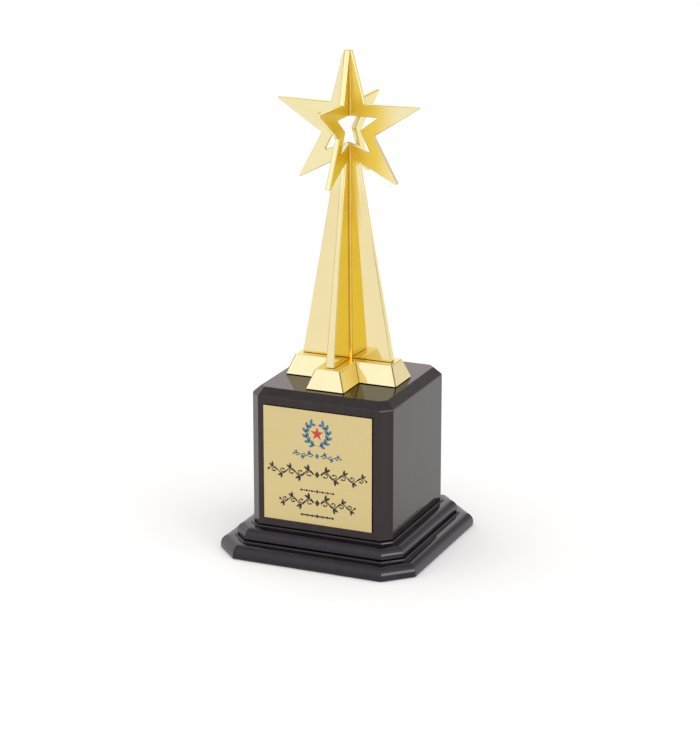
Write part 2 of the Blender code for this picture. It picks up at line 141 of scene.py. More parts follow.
# Plaque sheet and the prints on it.
PLAQUE_EDGE_R = 0.5 * MM
PLAQUE_BACK_R = 0.05 * MM
PLAQUE_LEAST_R = 0.05 * MM
PLAQUE_BACK_RUN = 0.4 * MM
PLAQUE_FACE_RUN = 1.0 * MM
INK_T = 0.04 * MM
INK_BURY = 0.02 * MM
SMOOTH_BELOW = math.radians(35.0)
INK_SMOOTH_BELOW = math.radians(30.0)


# ---------------------------------------------------------------- mesh tools
# Turns smaller than these, in radians, stay unrounded; points closer than CDT_EPSILON are one.
STRAIGHT_PLAN = 0.02
STRAIGHT_PROFILE = 0.001
CDT_EPSILON = 1.0e-8


def arc(here, before, turn, radius, steps):
    """Points and normals round the corner at here, which the outline reaches along before."""
    normal = Vector((before.y, -before.x))
    side = 1.0 if turn > 0.0 else -1.0
    start = here - before * (radius * math.tan(0.5 * abs(turn)))
    centre = start - normal * (radius * side)
    for k in range(steps + 1):
        angle = turn * k / steps
        n = Vector((
            normal.x * math.cos(angle) - normal.y * math.sin(angle),
            normal.x * math.sin(angle) + normal.y * math.cos(angle),
        ))
        yield centre + n * (radius * side), n


def rounded_loop(points, radii, steps=4):
    """Outline with rounded corners as (a, b, normal a, normal b).

    The material lies on the left of travel."""
    out = []
    count = len(points)
    for i in range(count):
        here = Vector(points[i])
        before = (here - Vector(points[i - 1])).normalized()
        after = (Vector(points[(i + 1) % count]) - here).normalized()
        turn = math.atan2(before.cross(after), before.dot(after))
        if radii[i] <= 0.0 or abs(turn) < STRAIGHT_PLAN:
            middle = (Vector((before.y, -before.x)) + Vector((after.y, -after.x))).normalized()
            out.append((here.x, here.y, middle.x, middle.y))
        else:
            out.extend((p.x, p.y, n.x, n.y) for p, n in arc(here, before, turn, radii[i], steps))
    return out


def rounded_profile(rows, steps=4):
    """Open profile (inset, height, radius) as (inset, height, outward normal, upward normal)."""
    out = []
    last = len(rows) - 1
    for i, (inset, height, radius) in enumerate(rows):
        here = Vector((-inset, height))
        if i == 0 or i == last:
            other = rows[1] if i == 0 else rows[last - 1]
            along = Vector((-other[0], other[1])) - here
            along = along.normalized() if i == 0 else -along.normalized()
            out.append((inset, height, along.y, -along.x))
            continue
        low, high = rows[i - 1], rows[i + 1]
        before = (here - Vector((-low[0], low[1]))).normalized()
        after = (Vector((-high[0], high[1])) - here).normalized()
        turn = math.atan2(before.cross(after), before.dot(after))
        if radius <= 0.0 or abs(turn) < STRAIGHT_PROFILE:
            middle = (Vector((before.y, -before.x)) + Vector((after.y, -after.x))).normalized()
            out.append((inset, height, middle.x, middle.y))
        else:
            out.extend((-p.x, p.y, n.x, n.y) for p, n in arc(here, before, turn, radius, steps))
    return out


def cap_triangles(loops, cross_links=()):
    """Triangles between closed loops of 2D points, as indices into all the points in order."""
    points = []
    edges = []
    for loop in loops:
        base = len(points)
        points.extend(Vector(p) for p in loop)
        edges.extend((base + i, base + (i + 1) % len(loop)) for i in range(len(loop)))
    edges.extend(cross_links)
    verts, _, tris, origin, _, _ = delaunay_2d_cdt(points, edges, [], 0, CDT_EPSILON)
    lookup = [o[0] if o else None for o in origin]
    kept = []
    for tri in tris:
        middle = sum((verts[i] for i in tri), Vector((0.0, 0.0))) / 3.0
        crossings = 0
        for loop in loops:
            for i, (x0, y0) in enumerate(loop):
                x1, y1 = loop[i - 1]
                if (y0 > middle.y) != (y1 > middle.y):
                    if middle.x < (x1 - x0) * (middle.y - y0) / (y1 - y0) + x0:
                        crossings += 1
        if crossings % 2 and None not in [lookup[i] for i in tri]:
            kept.append([lookup[i] for i in tri])
    return kept


def body_mesh(name, plans, profile, place, turn_normal, crease=None):
    """Closed body swept from rounded plans along a profile.

    plans is a list of functions, inset -> loop; place puts (a, b, height) in space and
    turn_normal does the same for a direction."""
    verts = []
    faces = []
    normals = []
    low_rings = []
    high_rings = []
    for plan in plans:
        base = len(verts)
        rings = [plan(row[0]) for row in profile]
        count = len(rings[0])
        for ring, row in zip(rings, profile):
            verts.extend(place(a, b, row[1]) for a, b, _, _ in ring)
        spread = [
            [turn_normal(na * row[2], nb * row[2], row[3]) for _, _, na, nb in ring]
            for ring, row in zip(rings, profile)
        ]
        for k in range(len(profile) - 1):
            for i in range(count):
                j = (i + 1) % count
                corners = [(i, k), (j, k), (j, k + 1), (i, k + 1)]
                faces.append([base + level * count + at for at, level in corners])
                normals.extend(spread[level][at] for at, level in corners)
        low_rings.append(([(a, b) for a, b, _, _ in rings[0]], base))
        last = base + (len(profile) - 1) * count
        high_rings.append(([(a, b) for a, b, _, _ in rings[-1]], last))
    for rings, up in ((low_rings, False), (high_rings, True)):
        index = [start + i for loop, start in rings for i in range(len(loop))]
        links = crease([loop for loop, _ in rings]) if crease else ()
        for tri in cap_triangles([loop for loop, _ in rings], links):
            face = [index[i] for i in (tri if up else reversed(tri))]
            a, b, c = (Vector(verts[i]) for i in face)
            flat = (b - a).cross(c - a)
            flat = flat.normalized() if flat.length > 0.0 else Vector((0.0, 0.0, 1.0))
            faces.append(face)
            normals.extend([tuple(flat)] * 3)
    return finished(name, verts, faces, normals)


def finished(name, verts, faces, normals=None):
    """New smooth-shaded object in the scene, with its own corner normals where they are given."""
    mesh = bpy.data.meshes.new(name)
    mesh.from_pydata([tuple(v) for v in verts], [], faces)
    obj = bpy.data.objects.new(name, mesh)
    bpy.context.scene.collection.objects.link(obj)
    for poly in mesh.polygons:
        poly.use_smooth = True
    if normals:
        mesh.normals_split_custom_set([tuple(n) for n in normals])
    return obj


def upright(a, b, height):
    return (a, b, height)


# ---------------------------------------------------------------- materials
# Tones are pairs of linear colours, and a noise moves between the two.
GOLD_TINT = (1.0, 0.93, 0.62, 1.0)
# Darker gold for the plates' rounded rims: a painted dark reflection.
RIM_PAINTED_DARK_REFLECTION = ((0.42, 0.31, 0.14), (0.48, 0.36, 0.17))
# Darker gold where the core strips run into the plates: a painted reflection.
CORE_PAINTED_REFLECTION_GOLD = ((0.58, 0.37, 0.05), (0.66, 0.42, 0.06))
CORE_GOLD = ((0.82, 0.68, 0.30), (0.85, 0.71, 0.33))
# Deeper gold for the foot's painted reflection between the fins and on the arms' sides.
FOOT_PAINTED_REFLECTION_GOLD = ((0.66, 0.45, 0.07), (0.78, 0.55, 0.10))
# Dark gold for the painted dark reflection on the foot's upright corners.
FOOT_PAINTED_DARK_REFLECTION = ((0.10, 0.075, 0.03), (0.14, 0.10, 0.045))
FIN_GOLD = ((0.79, 0.68, 0.37), (0.81, 0.70, 0.39))
STAR_GOLD = ((0.825, 0.745, 0.415), (0.845, 0.765, 0.435))
# Deep gold of the two plates: a painted reflection, not the metal's own tone.
WIDE_PAINTED_DEEP_REFLECTION = ((0.78, 0.565, 0.085), (0.81, 0.59, 0.10))
CROSS_PAINTED_DEEP_REFLECTION = ((0.66, 0.49, 0.035), (0.70, 0.52, 0.05))
FOOT_GOLD = ((0.80, 0.715, 0.435), (0.82, 0.735, 0.455))
# Distance from the axis over which the painted deep-gold reflection fades, on the wide plate and on
# the cross plate.
WIDE_FADE = (19.0 * MM, 34.0 * MM)
CROSS_FADE = (38.0 * MM, 56.0 * MM)
# Share of the painted deep-gold reflection above the window, reached over this height.
WIDE_TOP_SHARE = 0.9
CROSS_TOP_SHARE = 0.5
TOP_SHARE_Z = (HOLE_TOP_Z, HOLE_TOP_Z + 12.0 * MM)
# The painted deep-gold reflection ends below the lower edge of the star's legs, z + LEG_SLOPE *
# distance = LEG_LINE.
LEG_SLOPE = 0.523
LEG_LINE = 252.4 * MM
LEG_SOFT = (LEG_LINE - 1.6 * MM, LEG_LINE - 0.4 * MM)
# Under it a band of the painted reflection beside the axis goes on, distance + BAND_SLOPE * z =
# BAND_LINE, and fades out.
BAND_SLOPE = 0.113
BAND_LINE = 5.6 * MM + BAND_SLOPE * 244.0 * MM
BAND_SOFT = (BAND_LINE, BAND_LINE + 0.8 * MM)
BAND_FADE = (200.0 * MM, 230.0 * MM)
WIDE_BAND_SHARE = 0.9
CROSS_BAND_SHARE = 0.25
# The star's own paler gold takes over from the fins' over this height.
STAR_Z = (228.0 * MM, 236.0 * MM)
# The painted deep-gold reflection lies where x * y is negative, in two facing corners of the
# crossing.
FACING_CORNERS = (-2.0e-6, -0.5e-6)
# Share of the normal along the plate's thickness: flat faces, and the two ends of the rounded rim.
FLAT_FACE = (0.70, 0.95)
RIM_IN = (0.25, 0.55)
RIM_OUT = (0.75, 0.97)
# Share of the painted dark reflection that the rim takes.
RIM_TONE = 0.85
# Roughness of the mirror finish, and what the star and the painted deep-gold reflection add to it.
MIRROR = (0.03, 0.06)
STAR_SOFTER = 0.06
DEEP_SATIN = 0.24
CORE_MIRROR = (0.08, 0.12)
# Noise scales and details: (scale, detail, roughness).
CLOUD = (60.0, 3.0, 0.5)
HAZE = (900.0, 4.0, 0.7)
RIPPLE = (45.0, 1.0, 0.5)
RIPPLE_BUMP = (0.06, 0.4 * MM)
# Foot: flat top, fade from the axis, and the darker sides of the front and back arms, which place
# the foot's painted reflections.
FOOT_LEVEL = (0.90, 0.99)
FOOT_DEEP = (20.0 * MM, 36.0 * MM)
FOOT_FLANK = (0.6, 0.85)
FOOT_FLANK_TONE = 0.8
FOOT_SIDE = (4.0 * MM, 24.0 * MM)
FOOT_SIDE_LEAST = 0.3
FOOT_DIAGONAL = (0.0, 1.0 * MM)
# Upright corners that take the painted dark reflection.
FOOT_CORNER = (0.12, 0.30)
# Core strips: how far the normal leans to one plate, and the share of the painted darker reflection
# at the middle and at the flanks.
CORE_LEAN = (0.03, 0.28)
CORE_TONE = (0.25, 1.0)
# Lacquer, plaque, print, metal, felt and film.
LACQUER_STREAK = (150.0, 150.0, 9.0)
LACQUER_IOR = 1.5
LACQUER_SPECULAR = 0.47
LACQUER_ROUGH = (0.035, 0.07)
PLAQUE_BRUSH = (60.0, 60.0, 2600.0)
PLAQUE_TONES = ((0.625, 0.510, 0.250), (0.660, 0.540, 0.270))
PLAQUE_ROUGH = (0.30, 0.42)
INK_ROUGH = (0.35, 0.5)
FELT_TONES = ((0.012, 0.016, 0.013), (0.035, 0.045, 0.037))
FILM_TONES = ((0.66, 0.66, 0.62), (0.78, 0.78, 0.74))
FILM_ROUGH = (0.45, 0.6)
FLOOR_TONES = ((0.92, 0.92, 0.92), (0.94, 0.94, 0.94))


def new_material(name):
    mat = bpy.data.materials.new(name)
    mat.use_nodes = True
    tree = mat.node_tree
    return mat, tree, tree.nodes["Principled BSDF"]


def coords(tree, scale=(1.0, 1.0, 1.0), rotation=(0.0, 0.0, 0.0)):
    source = tree.nodes.new("ShaderNodeTexCoord")
    mapping = tree.nodes.new("ShaderNodeMapping")
    mapping.inputs["Scale"].default_value = scale
    mapping.inputs["Rotation"].default_value = rotation
    tree.links.new(source.outputs["Object"], mapping.inputs["Vector"])
    return mapping.outputs["Vector"]


def noise(tree, vector, scale, detail=2.0, rough=0.5):
    node = tree.nodes.new("ShaderNodeTexNoise")
    node.inputs["Scale"].default_value = scale
    node.inputs["Detail"].default_value = detail
    node.inputs["Roughness"].default_value = rough
    tree.links.new(vector, node.inputs["Vector"])
    return node.outputs["Fac"]


def remap(tree, value, low, high, from_low=0.3, from_high=0.7):
    node = tree.nodes.new("ShaderNodeMapRange")
    node.inputs["From Min"].default_value = from_low
    node.inputs["From Max"].default_value = from_high
    node.inputs["To Min"].default_value = low
    node.inputs["To Max"].default_value = high
    tree.links.new(value, node.inputs["Value"])
    return node.outputs["Result"]


def ramp_colour(tree, value, low, high, from_low=0.3, from_high=0.7):
    node = tree.nodes.new("ShaderNodeValToRGB")
    node.color_ramp.elements[0].position = from_low
    node.color_ramp.elements[1].position = from_high
    node.color_ramp.elements[0].color = (*low, 1.0)
    node.color_ramp.elements[1].color = (*high, 1.0)
    tree.links.new(value, node.inputs["Fac"])
    return node.outputs["Color"]


def mixed(tree, factor, first, second):
    node = tree.nodes.new("ShaderNodeMix")
    node.data_type = "RGBA"
    tree.links.new(factor, node.inputs["Factor"])
    # 6 and 7 are the colour sockets A and B, and output 2 is the colour.
    for socket, value in ((node.inputs[6], first), (node.inputs[7], second)):
        if isinstance(value, tuple):
            socket.default_value = value
        else:
            tree.links.new(value, socket)
    return node.outputs[2]


def math_node(tree, operation, first, second):
    node = tree.nodes.new("ShaderNodeMath")
    node.operation = operation
    for socket, value in zip(node.inputs, (first, second)):
        if isinstance(value, float):
            socket.default_value = value
        else:
            tree.links.new(value, socket)
    return node.outputs["Value"]


def absolute(tree, value):
    return math_node(tree, "ABSOLUTE", value, 0.0)


def product(tree, *values):
    result = values[0]
    for value in values[1:]:
        result = math_node(tree, "MULTIPLY", result, value)
    return result


def bump(tree, shader, height, strength, distance):
    node = tree.nodes.new("ShaderNodeBump")
    node.inputs["Strength"].default_value = strength
    node.inputs["Distance"].default_value = distance
    tree.links.new(height, node.inputs["Height"])
    tree.links.new(node.outputs["Normal"], shader.inputs["Normal"])


def polished_gold(tree, shader, vector, colour, rough):
    tree.links.new(colour, shader.inputs["Base Color"])
    tree.links.new(rough, shader.inputs["Roughness"])
    shader.inputs["Metallic"].default_value = 1.0
    shader.inputs["Specular Tint"].default_value = GOLD_TINT
    bump(tree, shader, noise(tree, vector, *RIPPLE), *RIPPLE_BUMP)


def position_and_normal(tree):
    """Place on the object and direction of its surface, each split into X, Y and Z."""
    source = tree.nodes.new("ShaderNodeTexCoord")
    at = tree.nodes.new("ShaderNodeSeparateXYZ")
    facing = tree.nodes.new("ShaderNodeSeparateXYZ")
    tree.links.new(source.outputs["Object"], at.inputs["Vector"])
    tree.links.new(source.outputs["Normal"], facing.inputs["Vector"])
    return at.outputs, facing.outputs


def foot_material():
    """Mirror gold, deeper between the fins and beside two arms, with dark upright corners; all
    three are painted reflections.
    """
    mat, tree, shader = new_material("gold_foot_plating")
    at, facing = position_and_normal(tree)
    vector = coords(tree)
    cloud = noise(tree, vector, *CLOUD)
    out_x, out_y = absolute(tree, at["X"]), absolute(tree, at["Y"])
    level = remap(tree, facing["Z"], 0.0, 1.0, *FOOT_LEVEL)
    spread = math_node(tree, "ADD", out_x, out_y)
    # deep: the painted deep-gold reflection on the flat top near the fins.
    deep = product(tree, level, remap(tree, spread, 1.0, 0.0, *FOOT_DEEP))
    along_y = math_node(tree, "SUBTRACT", out_y, out_x)
    painted_flank_reflection = remap(tree, absolute(tree, facing["X"]), 0.0, FOOT_FLANK_TONE, *FOOT_FLANK)
    # side: the painted darker reflection on the sides of the front and back arms.
    side = product(
        tree, painted_flank_reflection, remap(tree, along_y, 1.0, FOOT_SIDE_LEAST, *FOOT_SIDE),
        remap(tree, along_y, 0.0, 1.0, *FOOT_DIAGONAL),
    )
    # corner: the painted dark reflection on the upright corners.
    turned = absolute(tree, product(tree, facing["X"], facing["Y"]))
    corner = remap(tree, turned, 0.0, 1.0, *FOOT_CORNER)
    painted_reflection = ramp_colour(tree, cloud, *FOOT_PAINTED_REFLECTION_GOLD)
    colour = mixed(tree, deep, ramp_colour(tree, cloud, *FOOT_GOLD), painted_reflection)
    colour = mixed(tree, side, colour, painted_reflection)
    colour = mixed(tree, corner, colour, ramp_colour(tree, cloud, *FOOT_PAINTED_DARK_REFLECTION))
    haze = noise(tree, vector, *HAZE)
    polished_gold(tree, shader, vector, colour, remap(tree, haze, *MIRROR))
    return mat


def core_material():
    """Strip between the plates: pale along its middle, darker gold where it runs into them, a
    painted reflection.
    """
    mat, tree, shader = new_material("gold_core_plating")
    _, facing = position_and_normal(tree)
    vector = coords(tree)
    cloud = noise(tree, vector, *CLOUD)
    lean = math_node(tree, "SUBTRACT", absolute(tree, facing["X"]), absolute(tree, facing["Y"]))
    # The flanks take the painted darker reflection where the strip runs into the plates.
    painted_flank_reflection = remap(tree, absolute(tree, lean), *CORE_TONE, *CORE_LEAN)
    middle = ramp_colour(tree, cloud, *CORE_GOLD)
    colour = mixed(tree, painted_flank_reflection, middle, ramp_colour(tree, cloud, *CORE_PAINTED_REFLECTION_GOLD))
    haze = noise(tree, vector, *HAZE)
    polished_gold(tree, shader, vector, colour, remap(tree, haze, *CORE_MIRROR))
    return mat


def plate_material(name, thin_axis, painted_reflection_tones, top_share, band_share, fade):
    """Mirror gold with darker rims, and a deeper, softer gold round the middle of the star; both
    are painted reflections.
    """
    mat, tree, shader = new_material(name)
    at, facing = position_and_normal(tree)
    spread = math_node(tree, "MAXIMUM", absolute(tree, at["X"]), absolute(tree, at["Y"]))
    star = remap(tree, at["Z"], 0.0, 1.0, *STAR_Z)

    # Lower limit of the painted deep-gold reflection, with a pale wedge from the notch down beside
    # the band.
    leg_line = math_node(tree, "ADD", at["Z"], math_node(tree, "MULTIPLY", spread, LEG_SLOPE))
    above_leg = remap(tree, leg_line, 0.0, 1.0, *LEG_SOFT)
    band_line = math_node(tree, "ADD", spread, math_node(tree, "MULTIPLY", at["Z"], BAND_SLOPE))
    band = product(
        tree, remap(tree, band_line, 1.0, 0.0, *BAND_SOFT),
        remap(tree, at["Z"], 0.0, band_share, *BAND_FADE),
    )
    lower = math_node(tree, "MAXIMUM", above_leg, band)

    tilt = absolute(tree, facing[thin_axis])
    # deep is the mask of the painted deep-gold reflection.
    deep = product(
        tree, remap(tree, spread, 1.0, 0.0, *fade),
        remap(tree, product(tree, at["X"], at["Y"]), 1.0, 0.0, *FACING_CORNERS),
        lower, remap(tree, tilt, 0.0, 1.0, *FLAT_FACE),
        remap(tree, at["Z"], 1.0, top_share, *TOP_SHARE_Z),
    )

    # The rounded rim is where the normal is neither along the plate's thickness nor across it; its
    # darker gold there is a painted dark reflection.
    painted_rim_reflection = product(
        tree, remap(tree, tilt, 0.0, 1.0, *RIM_IN), remap(tree, tilt, 1.0, 0.0, *RIM_OUT), RIM_TONE,
    )

    vector = coords(tree)
    cloud = noise(tree, vector, *CLOUD)
    fins = ramp_colour(tree, cloud, *FIN_GOLD)
    faces = mixed(tree, star, fins, ramp_colour(tree, cloud, *STAR_GOLD))
    faces = mixed(tree, deep, faces, ramp_colour(tree, cloud, *painted_reflection_tones))
    colour = mixed(tree, painted_rim_reflection, faces, ramp_colour(tree, cloud, *RIM_PAINTED_DARK_REFLECTION))
    polish = remap(tree, noise(tree, vector, *HAZE), *MIRROR)
    softer = math_node(tree, "ADD", polish, math_node(tree, "MULTIPLY", star, STAR_SOFTER))
    rough = math_node(tree, "ADD", softer, math_node(tree, "MULTIPLY", deep, DEEP_SATIN))
    polished_gold(tree, shader, vector, colour, rough)
    return mat


def lacquer_material(name, low, high, tint):
    """Gloss black over a faint upright grain."""
    mat, tree, shader = new_material(name)
    vector = coords(tree)
    streak = noise(tree, coords(tree, LACQUER_STREAK), 1.0, 3.0, 0.6)
    colour = ramp_colour(tree, streak, low, high)
    tree.links.new(colour, shader.inputs["Base Color"])
    shader.inputs["IOR"].default_value = LACQUER_IOR
    shader.inputs["Specular IOR Level"].default_value = LACQUER_SPECULAR
    shader.inputs["Specular Tint"].default_value = tint
    haze = noise(tree, vector, 400.0, 5.0, 0.65)
    tree.links.new(remap(tree, haze, *LACQUER_ROUGH), shader.inputs["Roughness"])
    bump(tree, shader, noise(tree, vector, 260.0, 2.0), 0.05, 0.0002)
    return mat


def plaque_material():
    """Satin gold, brushed from left to right."""
    mat, tree, shader = new_material("satin_gold_sheet")
    fine = noise(tree, coords(tree, PLAQUE_BRUSH), 1.0, 4.0, 0.6)
    colour = ramp_colour(tree, fine, *PLAQUE_TONES)
    tree.links.new(colour, shader.inputs["Base Color"])
    shader.inputs["Metallic"].default_value = 1.0
    tree.links.new(remap(tree, fine, *PLAQUE_ROUGH), shader.inputs["Roughness"])
    bump(tree, shader, fine, 0.05, 0.00005)
    return mat


def ink_material(name, low, high):
    mat, tree, shader = new_material(name)
    speck = noise(tree, coords(tree), 2200.0, 3.0, 0.6)
    tree.links.new(ramp_colour(tree, speck, low, high), shader.inputs["Base Color"])
    tree.links.new(remap(tree, speck, *INK_ROUGH), shader.inputs["Roughness"])
    bump(tree, shader, speck, 0.08, 0.00002)
    return mat


def metal_material(name, low, high, rough_low, rough_high, grain):
    mat, tree, shader = new_material(name)
    fine = noise(tree, coords(tree), grain, 4.0, 0.6)
    tree.links.new(ramp_colour(tree, fine, low, high), shader.inputs["Base Color"])
    shader.inputs["Metallic"].default_value = 1.0
    tree.links.new(remap(tree, fine, rough_low, rough_high), shader.inputs["Roughness"])
    bump(tree, shader, fine, 0.15, 0.00005)
    return mat


def felt_material():
    mat, tree, shader = new_material("dense_felt")
    vector = coords(tree)
    fibre = noise(tree, vector, 2400.0, 6.0, 0.75)
    colour = ramp_colour(tree, fibre, *FELT_TONES)
    tree.links.new(colour, shader.inputs["Base Color"])
    shader.inputs["Roughness"].default_value = 0.95
    shader.inputs["Sheen Weight"].default_value = 0.4
    shader.inputs["Sheen Roughness"].default_value = 0.5
    bump(tree, shader, fibre, 0.6, 0.0003)
    return mat


def film_material():
    mat, tree, shader = new_material("adhesive_film")
    speck = noise(tree, coords(tree), 900.0, 3.0)
    colour = ramp_colour(tree, speck, *FILM_TONES)
    tree.links.new(colour, shader.inputs["Base Color"])
    tree.links.new(remap(tree, speck, *FILM_ROUGH), shader.inputs["Roughness"])
    return mat


def floor_material():
    mat, tree, shader = new_material("pale_floor")
    soft = noise(tree, coords(tree), 3.0, 2.0)
    tree.links.new(ramp_colour(tree, soft, *FLOOR_TONES), shader.inputs["Base Color"])
    shader.inputs["Roughness"].default_value = 0.9
    shader.inputs["Specular IOR Level"].default_value = 0.1
    return mat


CORE = core_material()
FOOT = foot_material()
WIDE_PLATE = plate_material(
    "gold_wide_plate", "Y", WIDE_PAINTED_DEEP_REFLECTION, WIDE_TOP_SHARE, WIDE_BAND_SHARE, WIDE_FADE,
)
CROSS_PLATE = plate_material(
    "gold_cross_plate", "X", CROSS_PAINTED_DEEP_REFLECTION, CROSS_TOP_SHARE, CROSS_BAND_SHARE, CROSS_FADE,
)
BLOCK_LACQUER = lacquer_material(
    "black_block_lacquer", (0.004, 0.0018, 0.0018), (0.014, 0.009, 0.009), (1.0, 0.89, 0.90, 1.0),
)
TIER_LACQUER = lacquer_material(
    "black_tier_lacquer", (0.002, 0.0010, 0.003), (0.008, 0.005, 0.0105), (1.0, 0.93, 1.0, 1.0),
)
PLAQUE = plaque_material()
STEEL = metal_material("bright_zinc", (0.55, 0.56, 0.58), (0.68, 0.69, 0.70), 0.25, 0.4, 500.0)
BRASS = metal_material("turned_brass", (0.60, 0.42, 0.14), (0.72, 0.52, 0.20), 0.22, 0.35, 700.0)
FELT = felt_material()
FILM = film_material()
INK_DARK = ink_material("ink_dark", (0.016, 0.010, 0.008), (0.028, 0.018, 0.014))
INK_BLUE = ink_material("ink_blue", (0.030, 0.125, 0.200), (0.042, 0.155, 0.240))
INK_RED = ink_material("ink_red", (0.420, 0.030, 0.012), (0.520, 0.045, 0.018))


def dress(obj, material, slot_name, *nodes):
    obj.data.materials.append(material)
    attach(obj, "root")
    if nodes:
        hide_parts(*nodes)


# ---------------------------------------------------------------- base
def octagon(half, leg):
    a = half - leg
    return [
        (half, -a), (half, a), (a, half), (-a, half),
        (-half, a), (-half, -a), (-a, -half), (a, -half),
    ]


def octagon_plan(half, leg, corner):
    def plan(inset):
        points = octagon(half - inset, leg - LEG_SHRINK * inset)
        return rounded_loop(points, [corner] * 8, 3)
    return plan


def tier_rows(low_z, straight, ledge_z):
    arc_low = low_z + straight
    arc_top = ledge_z - STEP_H - SHOULDER_H
    rows = [(UNDER_RUN, low_z, 0.0), (0.0, low_z, TOE_R)]
    for k in range(ROUND_STEPS + 1):
        angle = 0.5 * math.pi * k / ROUND_STEPS
        inset = ROUND_IN * (1.0 - math.cos(angle))
        rows.append((inset, arc_low + (arc_top - arc_low) * math.sin(angle), 0.0))
    rows.append((SHOULDER_IN, ledge_z - STEP_H, STEP_R))
    rows.append((LEDGE_IN, ledge_z, LEDGE_R))
    rows.append((LEDGE_IN + LEDGE_RUN, ledge_z, 0.0))
    return rows


def build_base():
    rows = tier_rows(LOWER_LOW.z, LOW_STRAIGHT, LOWER_HIGH.z)
    lower = body_mesh(
        "lower_tier_moulding", [octagon_plan(LOWER_HIGH.x, LOW_LEG, LOW_CORNER_R)],
        rounded_profile(rows), upright, upright,
    )
    dress(lower, TIER_LACQUER, "black_lacquer", "lower_tier")

    rows = tier_rows(UPPER_LOW.z, UP_STRAIGHT, UPPER_HIGH.z)
    upper = body_mesh(
        "upper_tier_moulding", [octagon_plan(UPPER_HIGH.x, UP_LEG, UP_CORNER_R)],
        rounded_profile(rows), upright, upright,
    )
    dress(upper, TIER_LACQUER, "black_lacquer", "upper_tier")

    low, top = BLOCK_LOW.z, BLOCK_HIGH.z
    rows = [
        (UNDER_RUN, low, 0.0), (0.0, low, UNDER_R), (0.0, BEVEL_Z, BEVEL_R),
        (BEVEL_IN, top, TOP_R), (BEVEL_IN + TOP_RUN, top, 0.0),
    ]
    block = body_mesh(
        "plinth_block", [octagon_plan(BLOCK_HIGH.x, BLOCK_LEG, BLOCK_CORNER_R)],
        rounded_profile(rows, 6), upright, upright,
    )
    dress(block, BLOCK_LACQUER, "black_lacquer", "base_block")


# ---------------------------------------------------------------- figure
def plate_thickness(z):
    if z >= TAPER_Z:
        return STAR_T
    part = (TAPER_Z - max(z, FIN_BOTTOM_Z)) / (TAPER_Z - FIN_BOTTOM_Z)
    return STAR_T + (FIN_T - STAR_T) * part


def star_loop(scale, drop):
    """Outline of star and fins as points, radii and steps to a corner."""
    taper = (NOTCH_LEG[1] - TAPER_Z) / (NOTCH_LEG[1] - FIN_BOTTOM_Z)
    fin_at_taper = NOTCH_LEG[0] + (FIN_FOOT_HALF - NOTCH_LEG[0]) * taper
    side = [
        (FIN_FOOT_HALF, FIN_BOTTOM_Z, TIP_R), (fin_at_taper, TAPER_Z, 0.0),
        (*NOTCH_LEG, NOTCH_R), (*TIP_LEG_IN, TIP_R), (*TIP_LEG_OUT, TIP_R),
        (*NOTCH_SIDE, NOTCH_R), (*TIP_SIDE_LOW, TIP_R), (*TIP_SIDE_UP, TIP_R),
        (*NOTCH_UP, NOTCH_R), (TIP_TOP_HALF, TOTAL_H - drop, TOP_TIP_R),
    ]
    rows = side + [(-u, z, r) for u, z, r in reversed(side)]
    return [(u * scale, z) for u, z, r in rows], [r for u, z, r in rows], 4


def window_loop(scale, drop):
    """Outline of the star-shaped window, in the same form."""
    left = [(HOLE_ARM[0], HOLE_ARM[1] + drop), HOLE_NOTCH, HOLE_LEG]
    bottom = HOLE_LOW_Z - drop
    rows = [(-u, z) for u, z in left] + [(0.0, bottom)] + [(u, z) for u, z in reversed(left)]
    rows = rows[::-1]
    # Clockwise, so that the material stays on the left of travel.
    area = sum(
        rows[i - 1][0] * rows[i][1] - rows[i][0] * rows[i - 1][1] for i in range(len(rows))
    )
    if area > 0.0:
        rows = rows[::-1]
    proud = (HOLE_NOTCH[1], bottom)
    radii = [HOLE_PROUD_R if z in proud else HOLE_R for u, z in rows]
    return [(u * scale, z) for u, z in rows], radii, 3


def shrunk(points, radii, steps):
    """Plan for a plate outline; the edge rounding narrows at proud corners tighter than itself."""
    loop = rounded_loop(points, radii, steps)
    keep = []
    for i, radius in enumerate(radii):
        here, before, after = (Vector(points[k % len(points)]) for k in (i, i - 1, i + 1))
        turn = (here - before).cross(after - here)
        bend = abs((here - before).angle_signed(after - here))
        count = steps + 1 if radius > 0.0 and bend >= STRAIGHT_PLAN else 1
        limit = min(1.0, EDGE_SHARE * radius / EDGE_R) if turn > 0.0 and count > 1 else 1.0
        keep.extend([limit] * count)

    def plan(inset):
        return [
            (a - na * inset * k, b - nb * inset * k, na, nb)
            for (a, b, na, nb), k in zip(loop, keep)
        ]
    return plan


def crease_links(loops):
    """Pairs of points that carry the line where the fins begin to thicken."""
    found = []
    index = 0
    for loop in loops:
        for a, b in loop:
            if abs(b - TAPER_Z) < 0.2 * MM:
                found.append((a, index))
            index += 1
    found.sort()
    return [(found[i][1], found[i + 1][1]) for i in range(0, len(found) - 1, 2)]


def plate_body(name, scale, drop, wide):
    """Star plate with rounded edges, standing in the XZ plane if wide, else in the YZ plane."""
    half = 0.5 * STAR_T
    profile = []
    steps = 4
    for k in range(steps + 1):
        angle = 0.5 * math.pi * k / steps
        profile.append((
            EDGE_R * (1.0 - math.sin(angle)), -half + EDGE_R * (1.0 - math.cos(angle)),
            math.sin(angle), -math.cos(angle),
        ))
    profile += [(inset, -h, out, -up) for inset, h, out, up in reversed(profile)]

    def place(a, b, h):
        extra = 0.5 * (plate_thickness(b) - STAR_T)
        depth = h + (extra if h > 0.0 else -extra)
        return (a, -depth, b) if wide else (depth, a, b)

    def turn(na, nb, nh):
        return (na, -nh, nb) if wide else (nh, na, nb)

    plans = [shrunk(*star_loop(scale, drop)), shrunk(*window_loop(scale, drop))]
    return body_mesh(name, plans, profile, place, turn, crease_links)


